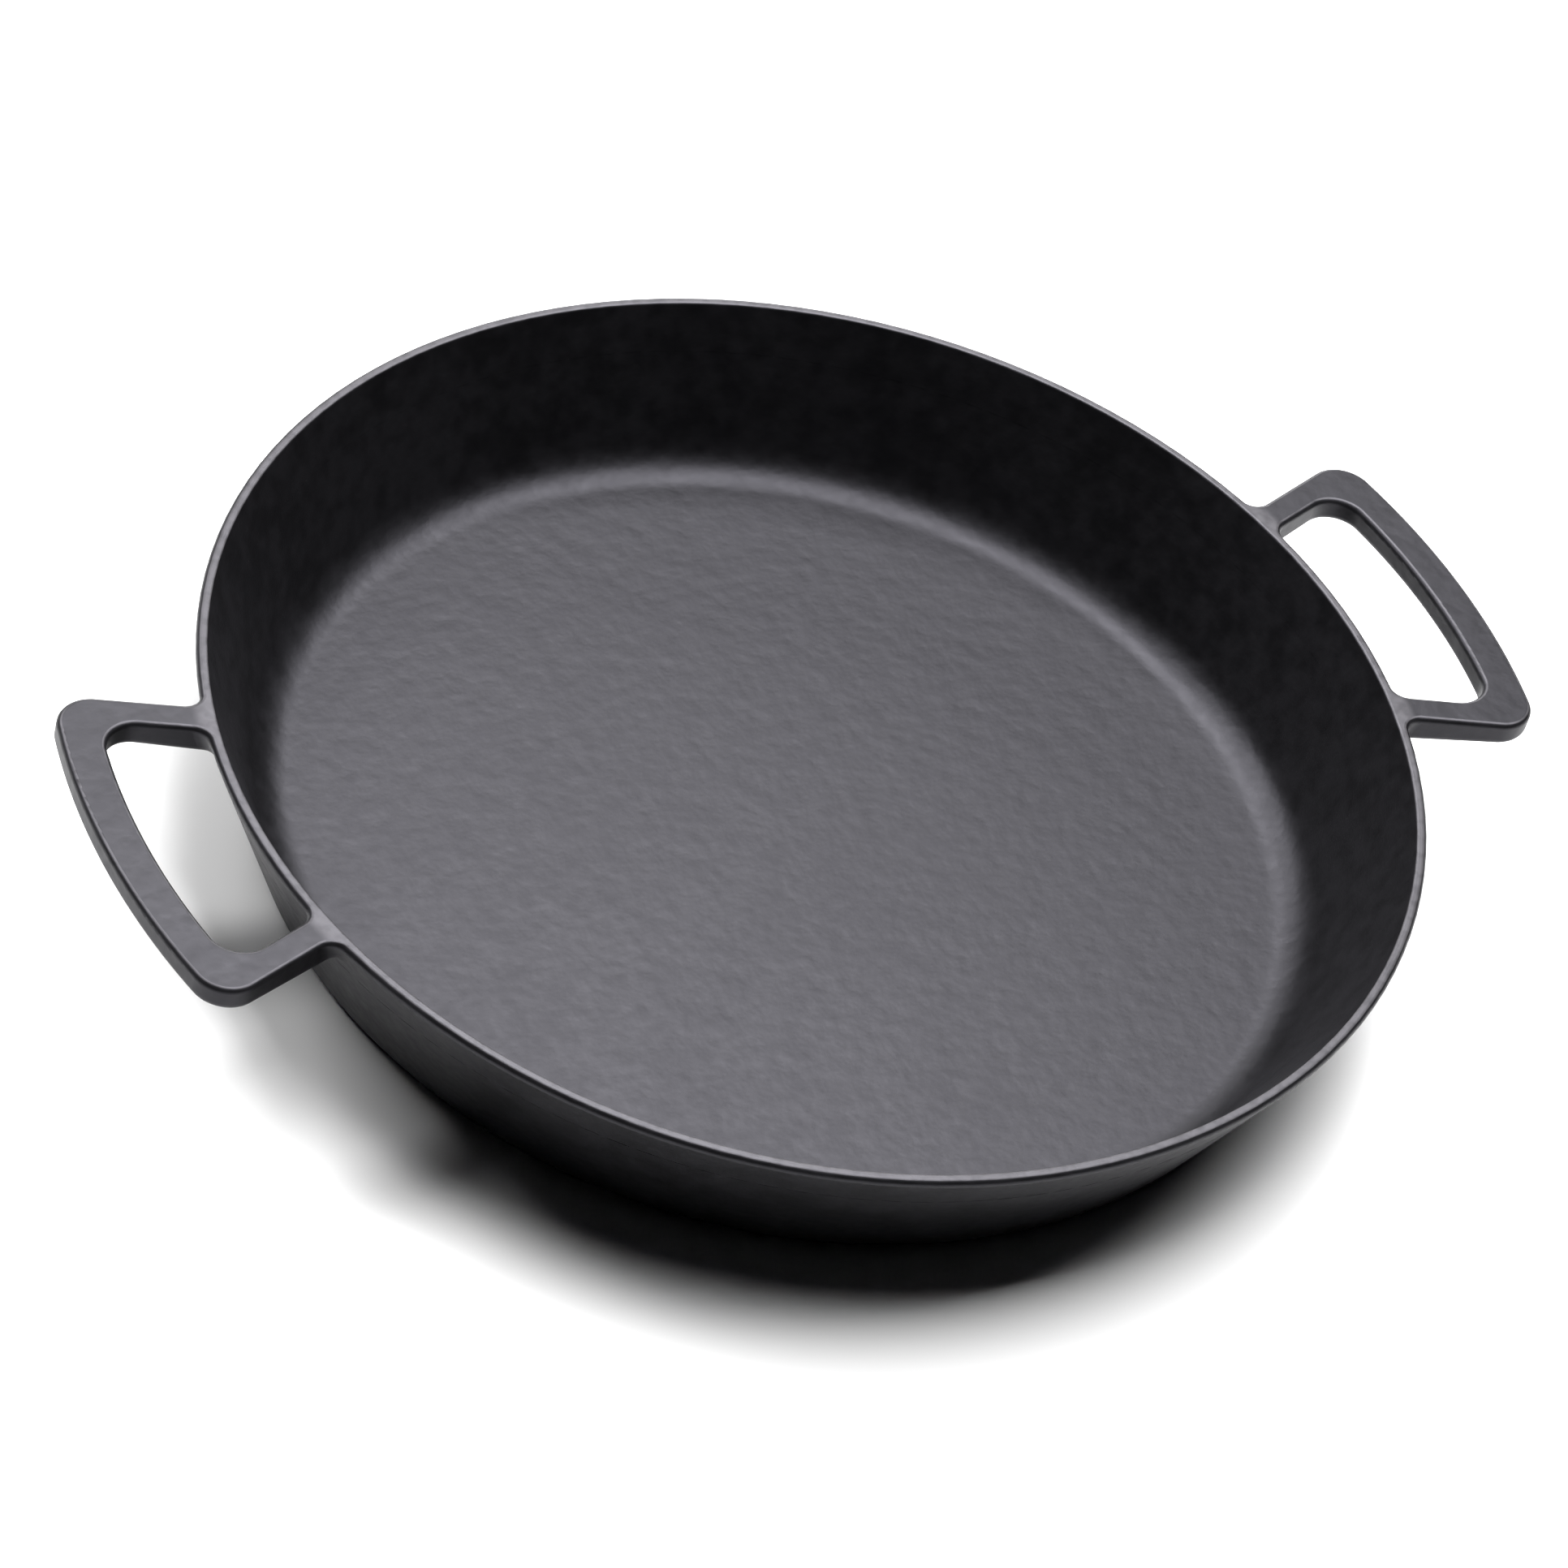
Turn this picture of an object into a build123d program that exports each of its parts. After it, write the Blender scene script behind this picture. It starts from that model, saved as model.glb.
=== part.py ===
"""Cast iron skillet with two loop handles, in millimetres.

The origin is the centre of the base's underside. Z points up and the handles lie along X. The
real pan is one iron casting. It is modelled whole, so that every edge and root is rounded as a
pattern maker would round it, and is then cut on clean seams into the regions that a person names:
cooking floor, side wall, rim, and the grip and two arms of each handle.
"""

import math
import os

from build123d import *

# Bowl
RIM_RADIUS = 175.0  # over the rounded outer edge of the rim
HEIGHT = 52.0  # underside of the base to the top of the rim
FLOOR_THICKNESS = 5.0
WALL_THICKNESS = 3.6  # square to the wall
WALL_FLARE = 24.5  # degrees that the wall leans out from upright
INNER_CORNER_RADIUS = 13.0  # where the cooking floor turns up into the wall
OUTER_CORNER_RADIUS = 7.0  # where the underside turns up into the wall
TOP_EDGE_RADIUS = 1.6  # outer edge of the rim, and the handles' upper edges
INNER_EDGE_RADIUS = 1.0  # inner edge of the rim

# Handles, flush with the top of the rim
HANDLE_REACH = 41.0  # rim to the far edge of the grip
ROOT_DEPTH = 9.0  # the handle's thickness at the rim, from which its underside slopes up
TIP_DEPTH = 7.2  # the handle's thickness at the far edge of the grip
GRIP_WIDTH = 12.0
ARM_WIDTH = 9.2  # square to the arm
ARM_SPREAD = 84.4  # between the two arms' centre lines, where they leave the rim
ARM_SPLAY = 20.7  # degrees between an arm and the handle's centre line
HANDLE_CORNER_RADIUS = 10.5
GAP_CORNER_RADIUS = 9.0  # corners of the finger gap beside the grip
LOWER_EDGE_RADIUS = 2.4  # the handles' lower edges
ROOT_RADIUS = 4.5  # where the arms grow out of the wall

# Seams between the named regions
FLOOR_SEAM_INSET = 1.5  # floor region's edge, inside the start of the inner corner
ARM_SEAM_CLEARANCE = 2.5  # rim region's edge on the arms, past the rounding of their roots
GRIP_LENGTH = 68.0  # between the grip's two seams

# Not sizes of the pan
ABOVE = 5.0  # how far the cutting shapes pass the casting
TINY = 0.01  # tolerance for finding edges by their place

# Worked out from the sizes above
flare = math.radians(WALL_FLARE)
lean = math.tan(flare)
# The rounding of the rim's acute outer edge takes this much off the sharp corner's radius.
edge_loss = TOP_EDGE_RADIUS * (1 / math.tan((math.pi / 2 - flare) / 2) - 1)
outer_corner_radius = RIM_RADIUS + edge_loss
inner_corner_radius = outer_corner_radius - WALL_THICKNESS / math.cos(flare)
base_corner_radius = outer_corner_radius - HEIGHT * lean
floor_corner_radius = inner_corner_radius - (HEIGHT - FLOOR_THICKNESS) * lean
flat_floor_radius = floor_corner_radius - INNER_CORNER_RADIUS * math.tan((math.pi / 2 - flare) / 2)
floor_seam_radius = flat_floor_radius - FLOOR_SEAM_INSET
# The rounding under a handle's root reaches about two thirds of its radius down the wall, so a
# rim region as deep as the root and a whole radius more holds all of it.
rim_depth = ROOT_DEPTH + ROOT_RADIUS
rim_seam = HEIGHT - rim_depth
arm_seam_radius = RIM_RADIUS + ROOT_RADIUS + ARM_SEAM_CLEARANCE
grip_outer_radius = RIM_RADIUS + HANDLE_REACH
grip_inner_radius = grip_outer_radius - GRIP_WIDTH
half_arm = ARM_WIDTH / 2 / math.cos(math.radians(ARM_SPLAY))
arm_slope = math.tan(math.radians(ARM_SPLAY))
underside_slope = math.degrees(math.atan((ROOT_DEPTH - TIP_DEPTH) / HANDLE_REACH))

os.makedirs("parts", exist_ok=True)


def splayed_outline(half_width_at_rim):
    """Corners of the wedge between two splayed lines, from inside the bowl to past the grip."""
    near = RIM_RADIUS - HANDLE_REACH / 2
    far = RIM_RADIUS + HANDLE_REACH + ABOVE
    half_near = half_width_at_rim + (near - RIM_RADIUS) * arm_slope
    half_far = half_width_at_rim + (far - RIM_RADIUS) * arm_slope
    return [(near, -half_near), (far, -half_far), (far, half_far), (near, half_near)]


def is_mouth(edge):
    """Whether an edge is the circle where the inner wall meets the flat top of the rim."""
    return edge.geom_type == GeomType.CIRCLE and abs(edge.radius - inner_corner_radius) < TINY


# One handle, pointing along +X: a flat loop whose arms run on through the bowl's wall. What
# stands inside the bowl goes when the inside is cut.
with BuildPart() as handle:
    with BuildSketch(Plane.XY.offset(rim_seam)):
        with BuildSketch(mode=Mode.PRIVATE) as outline:
            with BuildLine():
                Polyline(*splayed_outline(ARM_SPREAD / 2 + half_arm), close=True)
            make_face()
            Circle(grip_outer_radius, mode=Mode.INTERSECT)
            fillet(outline.vertices().group_by(Axis.X)[-1], HANDLE_CORNER_RADIUS)
        with BuildSketch(mode=Mode.PRIVATE) as finger_gap:
            with BuildLine():
                Polyline(*splayed_outline(ARM_SPREAD / 2 - half_arm), close=True)
            make_face()
            Circle(grip_inner_radius, mode=Mode.INTERSECT)
            fillet(finger_gap.vertices().group_by(Axis.X)[-1], GAP_CORNER_RADIUS)
        add(outline.sketch)
        add(finger_gap.sketch, mode=Mode.SUBTRACT)
    extrude(amount=rim_depth)
    underside = Plane((RIM_RADIUS, 0, HEIGHT - ROOT_DEPTH)).rotated((0, -underside_slope, 0))
    split(bisect_by=underside)
    fillet(handle.faces().sort_by(Axis.Z)[0].edges(), LOWER_EDGE_RADIUS)

# The whole casting, in the order that keeps each rounding simple: outside, handles, inside, edges.
with BuildPart() as casting:
    with BuildSketch(Plane.XZ) as outside:
        with BuildLine():
            Polyline(
                (0, 0),
                (base_corner_radius, 0),
                (outer_corner_radius, HEIGHT),
                (0, HEIGHT),
                close=True,
            )
        make_face()
        base_corner = outside.vertices().sort_by_distance((base_corner_radius, 0, 0))[0]
        fillet(base_corner, OUTER_CORNER_RADIUS)
    revolve(axis=Axis.Z)
    for turn in (0, 180):
        add(handle.part, rotation=(0, 0, turn))
    wall_face = casting.faces().filter_by(GeomType.CONE).sort_by(SortBy.AREA)[-1]
    fillet(wall_face.edges().filter_by_position(Axis.Z, rim_seam, HEIGHT - TINY), ROOT_RADIUS)

    with BuildSketch(Plane.XZ) as inside:
        with BuildLine():
            Polyline(
                (0, FLOOR_THICKNESS),
                (floor_corner_radius, FLOOR_THICKNESS),
                (inner_corner_radius + ABOVE * lean, HEIGHT + ABOVE),
                (0, HEIGHT + ABOVE),
                close=True,
            )
        make_face()
        floor_corner = inside.vertices().sort_by_distance((floor_corner_radius, 0, FLOOR_THICKNESS))[0]
        fillet(floor_corner, INNER_CORNER_RADIUS)
    revolve(axis=Axis.Z, mode=Mode.SUBTRACT)

    flat_top = casting.edges().filter_by_position(Axis.Z, HEIGHT - TINY, HEIGHT + TINY)
    fillet(flat_top.filter_by(is_mouth, reverse=True), TOP_EDGE_RADIUS)
    fillet(casting.edges().filter_by(is_mouth), INNER_EDGE_RADIUS)

# The seams. Each one crosses the casting where it is straight or flat, so no region ends in a
# feather edge, and neighbours meet face to face.
with BuildPart() as cooking_floor:
    add(casting.part)
    Cylinder(floor_seam_radius, 2 * HEIGHT + ABOVE, mode=Mode.INTERSECT)
cooking_floor.part.label = "cooking_floor"
export_step(cooking_floor.part, "parts/cooking_floor.step")

with BuildPart() as side_wall:
    add(casting.part)
    with BuildSketch():
        Circle(arm_seam_radius)
        Circle(floor_seam_radius, mode=Mode.SUBTRACT)
    extrude(amount=rim_seam, mode=Mode.INTERSECT)
side_wall.part.label = "side_wall"
export_step(side_wall.part, "parts/side_wall.step")

with BuildPart() as rim:
    add(casting.part)
    with BuildSketch(Plane.XY.offset(rim_seam)):
        Circle(arm_seam_radius)
    extrude(amount=rim_depth, mode=Mode.INTERSECT)
rim.part.label = "rim"
export_step(rim.part, "parts/rim.step")

for side, turn in (("left", 180), ("right", 0)):
    to_side = 1 if side == "right" else -1

    with BuildPart() as grip:
        add(casting.part)
        with BuildSketch(Plane.XY.offset(rim_seam)):
            with Locations((to_side * grip_outer_radius, 0)):
                Rectangle(2 * (grip_outer_radius - arm_seam_radius), GRIP_LENGTH)
        extrude(amount=rim_depth, mode=Mode.INTERSECT)
    grip.part.label = f"{side}_handle_grip"
    export_step(grip.part, f"parts/{side}_handle_grip.step")

    # The front arm is the one on the -Y side of the pan.
    for end, to_end in (("front", -1), ("rear", 1)):
        with BuildPart() as arm:
            add(casting.part)
            with BuildSketch(Plane.XY.offset(rim_seam)):
                with Locations((to_side * grip_outer_radius, to_end * grip_outer_radius)):
                    Rectangle(2 * grip_outer_radius, 2 * grip_outer_radius - GRIP_LENGTH)
                Circle(arm_seam_radius, mode=Mode.SUBTRACT)
            extrude(amount=rim_depth, mode=Mode.INTERSECT)
        arm.part.label = f"{side}_handle_{end}_arm"
        export_step(arm.part, f"parts/{side}_handle_{end}_arm.step")
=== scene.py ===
# %% [markdown]
# # A cast iron skillet
#
# The pan is one piece of iron: a floor, a flared wall, a rim and two flat loop handles. The CAD
# model holds its sizes and divides it into nine named regions. This script adds what makes it look
# like iron. It loads the regions as a fixed frame, turns a finer mesh for the two that are plain
# round shapes, gives all of them the same cast and seasoned skin, and lights them softly on a pale
# floor. Everything is in metres, with +Z up and the handles along X.

# %% Load the frame
import math

import bmesh
import bpy
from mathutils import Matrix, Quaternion, Vector


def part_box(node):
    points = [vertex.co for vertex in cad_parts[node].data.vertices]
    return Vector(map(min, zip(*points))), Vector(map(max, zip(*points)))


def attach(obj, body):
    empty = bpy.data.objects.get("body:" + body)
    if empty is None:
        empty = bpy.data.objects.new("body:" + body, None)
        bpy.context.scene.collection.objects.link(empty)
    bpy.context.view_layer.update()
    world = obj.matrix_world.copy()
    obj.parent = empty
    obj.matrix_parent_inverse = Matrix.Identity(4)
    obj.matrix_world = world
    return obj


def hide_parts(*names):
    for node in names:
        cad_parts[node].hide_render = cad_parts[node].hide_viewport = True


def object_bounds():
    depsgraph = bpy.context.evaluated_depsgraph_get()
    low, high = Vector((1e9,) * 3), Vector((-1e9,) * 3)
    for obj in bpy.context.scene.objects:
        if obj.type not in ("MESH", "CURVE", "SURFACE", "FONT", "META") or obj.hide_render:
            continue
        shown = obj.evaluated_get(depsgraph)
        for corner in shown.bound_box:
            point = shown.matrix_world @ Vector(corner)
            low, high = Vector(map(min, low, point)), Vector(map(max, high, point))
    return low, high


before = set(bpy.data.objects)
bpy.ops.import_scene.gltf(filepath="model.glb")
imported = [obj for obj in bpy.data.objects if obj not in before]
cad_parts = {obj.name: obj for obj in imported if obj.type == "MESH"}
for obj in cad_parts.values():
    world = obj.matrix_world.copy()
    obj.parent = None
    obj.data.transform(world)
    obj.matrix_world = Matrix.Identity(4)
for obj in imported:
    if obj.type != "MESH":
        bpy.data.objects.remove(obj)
cad_low, cad_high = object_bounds()
centre = (cad_low + cad_high) / 2
print("regions:", ", ".join(sorted(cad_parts)))
print("size in mm:", [round(1000 * side, 1) for side in cad_high - cad_low])

# %% [markdown]
# ## The camera
#
# The pan is seen from its front left, from a little under half way up, with a long lens that keeps
# the far handle almost as large as the near one. A camera could be placed by three coordinates and
# three angles, but direction and distance from what it looks at are easier to think in. The view
# leans, so the camera is rolled about its own line of sight after it has been aimed.

# %% Helpers that place things
def direction(azimuth, elevation):
    """Unit vector from the pan towards a place round it and above it. Azimuth 0 is the front."""
    level = math.cos(elevation)
    return Vector((math.sin(azimuth) * level, -math.cos(azimuth) * level, math.sin(elevation)))


def link(thing):
    """Put an object in the scene."""
    bpy.context.collection.objects.link(thing)
    return thing


def aim(thing, place, target):
    """Stand an object at a place, with its -Z axis towards a target and its Y axis up."""
    thing.location = place
    thing.rotation_mode = "QUATERNION"
    thing.rotation_quaternion = (target - place).to_track_quat("-Z", "Y")


print("the front is towards", [round(c) for c in direction(0, 0)])

# %% Place the camera
CAMERA_AZIMUTH = math.radians(-38.0)
CAMERA_ELEVATION = math.radians(42.7)
CAMERA_DISTANCE = 1.891
CAMERA_ROLL = math.radians(16.56)
CAMERA_LENS, SENSOR_WIDTH = 154.8, 36.0  # mm
AIM_SHIFT = Vector((-0.0059, -0.0011, 0.0))  # from the middle of the pan

camera = link(bpy.data.objects.new("camera", bpy.data.cameras.new("camera")))
camera.data.lens = CAMERA_LENS
camera.data.sensor_width = SENSOR_WIDTH
camera_target = centre + AIM_SHIFT
camera_place = camera_target + direction(CAMERA_AZIMUTH, CAMERA_ELEVATION) * CAMERA_DISTANCE
aim(camera, camera_place, camera_target)
camera.rotation_quaternion @= Quaternion((0, 0, 1), CAMERA_ROLL)
bpy.context.scene.camera = camera
print("camera stands at", [round(c, 3) for c in camera.location])

# %% [markdown]
# ## Turning the round regions
#
# The floor and the side wall are shapes of revolution, like pots on a wheel. Their CAD meshes could
# stay, but those are made of long thin triangles. A turned mesh has even rings and spokes instead,
# so that light slides over it without a flaw. A section is drawn in the XZ plane and spun round Z.
#
# The rounded corners of the section are arcs. Each arc starts as one vertex at the place where it
# leaves the straight line, and that vertex is spun about the arc's centre.

# %% Sizes of the section
FLOOR_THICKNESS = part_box("cooking_floor")[1].z
FLOOR_SEAM_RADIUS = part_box("cooking_floor")[1].x
RIM_SEAM_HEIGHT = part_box("rim")[0].z
WALL_SEAM_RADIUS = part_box("side_wall")[1].x  # outside of the wall, where the rim begins

# These are sizes of the CAD model that its boxes don't give.
WALL_FLARE = math.radians(24.5)
WALL_THICKNESS = 0.0036  # square to the wall
INNER_CORNER_RADIUS = 0.013
OUTER_CORNER_RADIUS = 0.007

lean = math.tan(WALL_FLARE)
wall_across = WALL_THICKNESS / math.cos(WALL_FLARE)
base_corner = WALL_SEAM_RADIUS - RIM_SEAM_HEIGHT * lean
floor_corner = WALL_SEAM_RADIUS - wall_across - (RIM_SEAM_HEIGHT - FLOOR_THICKNESS) * lean
print("wall is", round(1000 * wall_across, 2), "mm through on the level")

# %% Round a corner of a section
ARC_STEPS = 10


def add_arc(section, before, corner, after, radius):
    """Round one corner of a section, and return the new arc's vertices in order."""
    inward, outward = (before - corner).normalized(), (after - corner).normalized()
    half = inward.angle(outward) / 2
    start = corner + inward * (radius / math.tan(half))
    middle = corner + (inward + outward).normalized() * (radius / math.sin(half))
    turn = (start - middle).cross(outward).y
    arc_angle = math.copysign(math.pi - 2 * half, turn)
    seed = section.verts.new(start)
    bmesh.ops.spin(
        section, geom=[seed], cent=middle, axis=(0, 1, 0), angle=arc_angle, steps=ARC_STEPS
    )
    return list(section.verts)[-ARC_STEPS - 1:]


# %% Spin a section into a mesh
SPOKES = 288  # round the pan
RING_STEP = 0.004  # between rings, about the same as between spokes
MERGE_DISTANCE = 1e-6
SHARP_ANGLE = math.radians(40)  # faces that meet at more than this keep a crisp edge


def turned_mesh(name, corners, closed):
    """Spin a section of (radius, height, rounding) corners round Z into a mesh.

    A section that begins and ends on the axis isn't closed, because the spin closes it there.
    """
    section = bmesh.new()
    points = [Vector((radius, 0, height)) for radius, height, _ in corners]
    chain = []
    for i, (point, (_, _, rounding)) in enumerate(zip(points, corners)):
        if rounding:
            after = points[(i + 1) % len(points)]
            chain += add_arc(section, points[i - 1], point, after, rounding)
        else:
            chain.append(section.verts.new(point))
    joints = list(zip(chain, chain[1:]))
    if closed:
        joints.append((chain[-1], chain[0]))
    for a, b in joints:
        if section.edges.get((a, b)) is None:
            section.edges.new((a, b))
    for edge in list(section.edges):
        cuts = int(edge.calc_length() / RING_STEP)
        if cuts:
            bmesh.ops.subdivide_edges(section, edges=[edge], cuts=cuts)
    bmesh.ops.spin(
        section,
        geom=section.verts[:] + section.edges[:],
        cent=(0, 0, 0),
        axis=(0, 0, 1),
        angle=math.tau,
        steps=SPOKES,
        use_merge=True,
    )
    bmesh.ops.remove_doubles(section, verts=section.verts, dist=MERGE_DISTANCE)
    bmesh.ops.recalc_face_normals(section, faces=section.faces)
    for face in section.faces:
        face.smooth = True
    open_edges = sum(not edge.is_manifold for edge in section.edges)
    print(name, "has", len(section.faces), "faces and", open_edges, "open edges")
    mesh = bpy.data.meshes.new(name)
    section.to_mesh(mesh)
    section.free()
    mesh.set_sharp_from_angle(angle=SHARP_ANGLE)
    return mesh


# %% Turn the floor and the side wall
# Each corner has its radius from the axis, its height, and the radius that it is rounded to.
floor_section = [
    (0, 0, 0),
    (FLOOR_SEAM_RADIUS, 0, 0),
    (FLOOR_SEAM_RADIUS, FLOOR_THICKNESS, 0),
    (0, FLOOR_THICKNESS, 0),
]
wall_section = [
    (FLOOR_SEAM_RADIUS, 0, 0),
    (base_corner, 0, OUTER_CORNER_RADIUS),
    (WALL_SEAM_RADIUS, RIM_SEAM_HEIGHT, 0),
    (WALL_SEAM_RADIUS - wall_across, RIM_SEAM_HEIGHT, 0),
    (floor_corner, FLOOR_THICKNESS, INNER_CORNER_RADIUS),
    (FLOOR_SEAM_RADIUS, FLOOR_THICKNESS, 0),
]
floor_mesh = turned_mesh("turned_floor", floor_section, closed=False)
wall_mesh = turned_mesh("turned_wall", wall_section, closed=True)
floor_piece = link(bpy.data.objects.new("turned_floor", floor_mesh))
wall_piece = link(bpy.data.objects.new("turned_wall", wall_mesh))
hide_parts("cooking_floor")
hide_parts("side_wall")
for piece in (floor_piece, wall_piece):
    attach(piece, "root")

# %% [markdown]
# The rim and the handles keep their CAD meshes. They could be modelled again, but every root and
# edge is already rounded, and the normals that came with them are those of the true surfaces.

# %% [markdown]
# ## A small language for shaders
#
# A shader is a web of nodes, but its sums read better as sums. `Value` wraps one output socket, and
# Python's operators on it add Math nodes. Everything else goes through `Skin.node`, which sets a
# node's settings first and then its sockets.

# %% Wrap one socket
class Value:
    """One output socket of a shader node, with arithmetic."""

    def __init__(self, skin, socket):
        self.skin = skin
        self.socket = socket

    def sum(self, operation, *terms):
        inputs = dict(enumerate(terms))
        return self.skin.node("ShaderNodeMath", {"operation": operation}, inputs)

    def __add__(self, other):
        return self.sum("ADD", self, other)

    def __sub__(self, other):
        return self.sum("SUBTRACT", self, other)

    def __rsub__(self, other):
        return self.sum("SUBTRACT", other, self)

    def __mul__(self, other):
        return self.sum("MULTIPLY", self, other)

    def __pow__(self, other):
        return self.sum("POWER", self, other)

    __radd__ = __add__
    __rmul__ = __mul__


# %% Wrap one material
class Skin:
    """A material under construction."""

    def __init__(self, name):
        self.material = bpy.data.materials.new(name)
        self.material.use_nodes = True
        self.tree = self.material.node_tree
        self.surface = self.tree.nodes["Principled BSDF"]

    def feed(self, socket, value):
        """Link a Value to a socket, or set the socket to a plain number or colour."""
        if isinstance(value, Value):
            self.tree.links.new(value.socket, socket)
        else:
            socket.default_value = value

    def node(self, kind, settings=None, inputs=None, output=0):
        """Add a node of any kind, and return one of its outputs."""
        made = self.tree.nodes.new(kind)
        for key, setting in (settings or {}).items():
            setattr(made, key, setting)
        for key, value in (inputs or {}).items():
            self.feed(made.inputs[key], value)
        return Value(self, made.outputs[output])

    def noise(self, point, size, detail=2.0, roughness=0.5):
        """Cloudy noise whose blobs are about the given size in metres."""
        inputs = {"Vector": point, "Scale": 1 / size, "Detail": detail, "Roughness": roughness}
        return self.node("ShaderNodeTexNoise", {"noise_dimensions": "3D"}, inputs)

    def ramp(self, value, low, high):
        """0 below low, 1 above high, and a smooth step between them."""
        inputs = {"Value": value, "From Min": low, "From Max": high}
        return self.node("ShaderNodeMapRange", {"interpolation_type": "SMOOTHSTEP"}, inputs)

    def blend(self, factor, first, second):
        """Mix two colours."""
        inputs = {"Factor": factor, 6: first, 7: second}
        return self.node("ShaderNodeMix", {"data_type": "RGBA"}, inputs, output=2)


# %% [markdown]
# ## The skin of seasoned iron
#
# Iron poured in sand comes out with a fine pebbled skin. Baked oil turns it almost black and fills
# the smallest pits, so what shows is a dull sheen that the pebbles break up. Nearly all of what the
# eye sees is that sheen, so the skin is made mostly of bumps and very little of colour: a grain of
# about 3 mm, a finer one on top of it, and shallow waves under both. The waves, and a slow drift
# over the whole pan, make the seasoning thicker in some places than in others. A picture of iron
# could be wrapped round the pan instead, but it would stretch and show where it was joined.
#
# The narrow flat top of the rim is rubbed by lids, cloths and hands, and there a little grey metal
# shows. A thin line round the top edge of each handle gets the same grey, partly as rubbed metal
# and partly as a painted highlight along the start of its rounding. Both are found from height and
# radius, which come from the CAD sizes.
#
# All of it is read from Object coordinates, which are the same for every region, so the skin runs
# over the seams without a break.

# %% Colours and sizes of the skin
IRON_BLACK = (0.0028, 0.0027, 0.0030, 1)
IRON_THIN = (0.0055, 0.0053, 0.0060, 1)  # where the seasoning is thin
# Grey of rubbed metal on the rim's land; on the handles' top edges it is also a painted highlight.
IRON_RUBBED_AND_EDGE_HIGHLIGHT = (0.075, 0.072, 0.077, 1)
SHEEN_LEVEL = 0.32
SHEEN_TINT = (0.90, 0.88, 1.0, 1)
SHEEN_ROUGHNESS = 0.43
THIN_ROUGHNESS = 0.05  # added where the seasoning is thin
GRAIN_ROUGHNESS = 0.10  # between the pits and the tops of the grain
RUBBED_POLISH = 0.08  # taken off where metal shows

# How wide each kind of bump is, and how high. The drift has no height.
GRAIN, GRAIN_HEIGHT = 0.0030, 0.00007
FINE_GRAIN, FINE_HEIGHT = 0.0012, 0.00002
WAVE, WAVE_HEIGHT = 0.0075, 0.00019
DRIFT = 0.055

MEAN_NOISE = 0.5
WAVE_SHARE = 0.6  # of what makes the seasoning thin, and the drift has the rest
THICK_BELOW, THIN_ABOVE = 0.35, 0.65  # noise between thick seasoning and thin
PIT_BELOW, CREST_ABOVE = 0.25, 0.6  # noise between the pits and the crests of the grain
# Share of the grey, rubbed metal and painted highlight alike, that shows in the pits.
GREY_IN_PITS = 0.6  # against 1 on the crests of the grain

TOP = cad_high.z
RIM_RADIUS = cad_high.y
LAND_DEPTH = 0.00012  # the rim's land is rubbed down to this far below the flat top
LAND_FADE = 0.004  # along an arm, from the rim outwards
EDGE_START, EDGE_END = 0.00001, 0.00012  # how far below the flat top a handle's edge is painted grey, as rubbed metal and as a highlight
LAND_WEAR = 0.75
# The handles' edge line is partly rubbed metal and partly a painted highlight.
EDGE_WEAR_AND_HIGHLIGHT = 0.65
print("skin is bumpy by up to", round(1e6 * (GRAIN_HEIGHT + FINE_HEIGHT + WAVE_HEIGHT)), "microns")


# %% Find the rubbed places and the painted edge highlights
def rubbed_and_highlit_places(skin, point):
    """Above 0 where grey shows: rubbed metal on the rim's land, and a thin line round the top of
    each handle that is partly rubbed metal and partly a painted highlight on its rounded edge.

    Each is full down to its depth, and gone at twice that. The flat tops of the handles, above the
    line, stay black.
    """
    split = skin.node("ShaderNodeSeparateXYZ", inputs={0: point})
    x, y, z = (Value(skin, split.socket.node.outputs[i]) for i in range(3))
    radius = (x * x + y * y) ** 0.5
    on_handle = skin.ramp(radius, RIM_RADIUS, RIM_RADIUS + LAND_FADE)
    land = skin.ramp(z, TOP - 2 * LAND_DEPTH, TOP - LAND_DEPTH)
    on_flat = skin.ramp(z, TOP - 2 * EDGE_START, TOP - EDGE_START)
    edge = skin.ramp(z, TOP - 2 * EDGE_END, TOP - EDGE_END) * (1 - on_flat)
    return land * (1 - on_handle) * LAND_WEAR + edge * on_handle * EDGE_WEAR_AND_HIGHLIGHT


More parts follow.
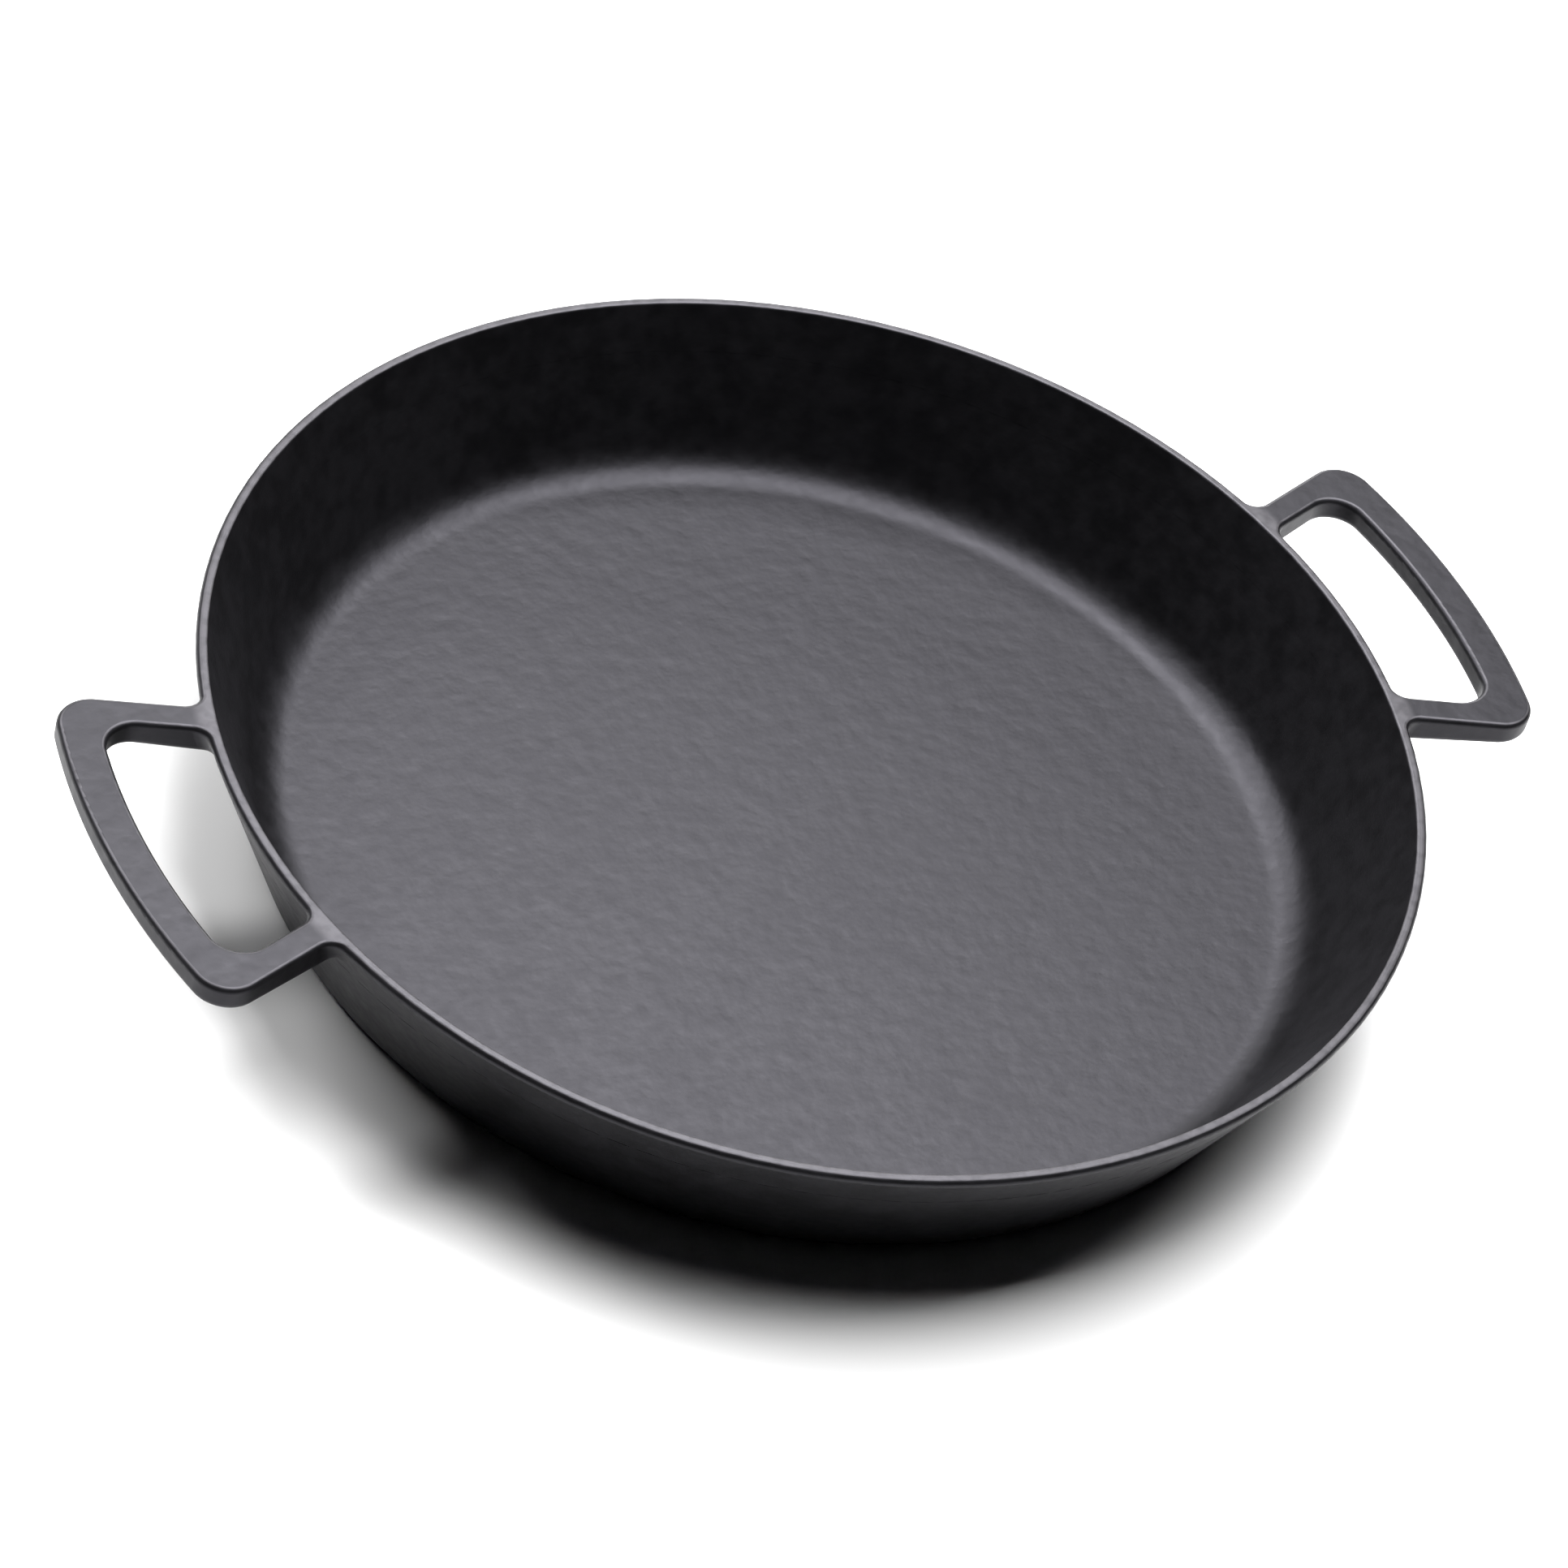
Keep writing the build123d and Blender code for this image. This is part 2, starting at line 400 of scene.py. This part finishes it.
# %% Mix the seasoned iron
def seasoned_iron(name):
    """Cast iron with baked oil on it."""
    skin = Skin(name)
    point = skin.node("ShaderNodeTexCoord", output="Object")
    grain = skin.noise(point, GRAIN, detail=1.0)
    fine = skin.noise(point, FINE_GRAIN, detail=1.0)
    wave = skin.noise(point, WAVE, detail=1.0)
    drift = skin.noise(point, DRIFT, detail=2.0)

    crests = skin.ramp(grain, PIT_BELOW, CREST_ABOVE)
    # Grey on the rim's land is rubbed metal; on the handles' top edges it is also a painted
    # highlight.
    rubbed_and_highlit = rubbed_and_highlit_places(skin, point) * (GREY_IN_PITS + (1 - GREY_IN_PITS) * crests)
    patches = wave * WAVE_SHARE + drift * (1 - WAVE_SHARE)
    thinness = skin.ramp(patches, THICK_BELOW, THIN_ABOVE)
    colour = skin.blend(thinness, IRON_BLACK, IRON_THIN)
    roughness = SHEEN_ROUGHNESS + thinness * THIN_ROUGHNESS - rubbed_and_highlit * RUBBED_POLISH
    roughness = roughness + (grain - MEAN_NOISE) * GRAIN_ROUGHNESS
    height = grain * GRAIN_HEIGHT + fine * FINE_HEIGHT + wave * WAVE_HEIGHT
    # The height is in metres already, so it goes in at full strength.
    bump = skin.node("ShaderNodeBump", inputs={"Strength": 1.0, "Distance": 1.0, "Height": height})

    sockets = skin.surface.inputs
    # The grey lightens the rim's land and paints a highlight along each handle's top edge.
    skin.feed(sockets["Base Color"], skin.blend(rubbed_and_highlit, colour, IRON_RUBBED_AND_EDGE_HIGHLIGHT))
    skin.feed(sockets["Roughness"], roughness)
    skin.feed(sockets["Normal"], bump)
    skin.feed(sockets["Specular IOR Level"], SHEEN_LEVEL)
    skin.feed(sockets["Specular Tint"], SHEEN_TINT)
    print(name, "uses", len(skin.tree.nodes), "nodes")
    return skin.material


# %% Dress every region
iron = seasoned_iron("seasoned_iron")
iron_pieces = [*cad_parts.values(), floor_piece, wall_piece]
for piece in iron_pieces:
    piece.data.materials.clear()
    piece.data.materials.append(iron)
print("dressed", len(iron_pieces), "objects, two of them hidden behind the turned ones")

# %% [markdown]
# ## Floor and backdrop
#
# The pan stands on plain white paper. Seen from low down, wide paper would run back out of the
# light and turn grey, so it ends while it is still white, and a white world carries on behind it.
# That world would fill every shadow and wash out the black iron. So it is hidden from all rays but
# the camera's own, and gives no light.

# %% Lay the floor
STAGE_HALF_WIDTH = 0.8
PAPER_WHITE = (0.9, 0.9, 0.9, 1)
PAPER_ROUGHNESS = 0.8
paper = Skin("white_paper")
paper.feed(paper.surface.inputs["Base Color"], PAPER_WHITE)
paper.feed(paper.surface.inputs["Roughness"], PAPER_ROUGHNESS)
paper.feed(paper.surface.inputs["Specular IOR Level"], 0.0)
grid = bmesh.new()
bmesh.ops.create_grid(grid, x_segments=1, y_segments=1, size=STAGE_HALF_WIDTH)
stage_mesh = bpy.data.meshes.new("stage_floor")
grid.to_mesh(stage_mesh)
grid.free()
stage_floor = link(bpy.data.objects.new("stage_floor", stage_mesh))
stage_floor.data.materials.append(paper.material)
print("paper is", 2 * STAGE_HALF_WIDTH, "m square")

# %% Hang the backdrop
WHITE = (1, 1, 1, 1)
world = bpy.data.worlds.new("white_backdrop")
bpy.context.scene.world = world
world.use_nodes = True
backdrop = world.node_tree.nodes["Background"].inputs
backdrop["Color"].default_value = WHITE
backdrop["Strength"].default_value = 1.0
world.cycles_visibility.diffuse = False
world.cycles_visibility.glossy = False
bpy.context.scene.view_settings.view_transform = "Standard"
print("backdrop lights the pan:", world.cycles_visibility.diffuse)

# %% [markdown]
# ## Light
#
# Black iron is lit by what it mirrors, and a plain white dome would light every wall of it alike
# and lose its shape. Broad panels under the ceiling, behind the pan as the camera sees it, put an
# even grey sheen on the cooking floor and leave the far wall black, because that wall mirrors the
# dark front of the room. The panel overhead draws the shadow in under the rim. A weak low lamp
# behind the pan lifts the far side of the floor.

# %% Hang the lights
CEILING = 1.6
LOW_LAMP_AZIMUTH = math.radians(150)
LOW_LAMP_ELEVATION = math.radians(15)
LOW_LAMP_DISTANCE = 1.6


def soft_light(name, place, width, depth, power):
    """A rectangular soft light, facing straight down until it is aimed."""
    light = link(bpy.data.objects.new(name, bpy.data.lights.new(name, "AREA")))
    light.data.shape = "RECTANGLE"
    light.data.size = width
    light.data.size_y = depth
    light.data.energy = power
    light.location = place
    print(name, "gives", power, "W")
    return light


rear_left, rear_right, overhead = (-0.75, 1.60), (0.50, 0.95), (0.50, 0.05)
soft_light("rear_left_panel", (*rear_left, CEILING), width=1.3, depth=0.8, power=62)
soft_light("rear_right_panel", (*rear_right, CEILING), width=1.1, depth=0.9, power=50)
soft_light("overhead_panel", (*overhead, CEILING), width=1.5, depth=0.9, power=46)
low_place = direction(LOW_LAMP_AZIMUTH, LOW_LAMP_ELEVATION) * LOW_LAMP_DISTANCE
low_lamp = soft_light("low_lamp", low_place, width=0.7, depth=0.7, power=5)
aim(low_lamp, low_place, Vector((0, 0, 0)))
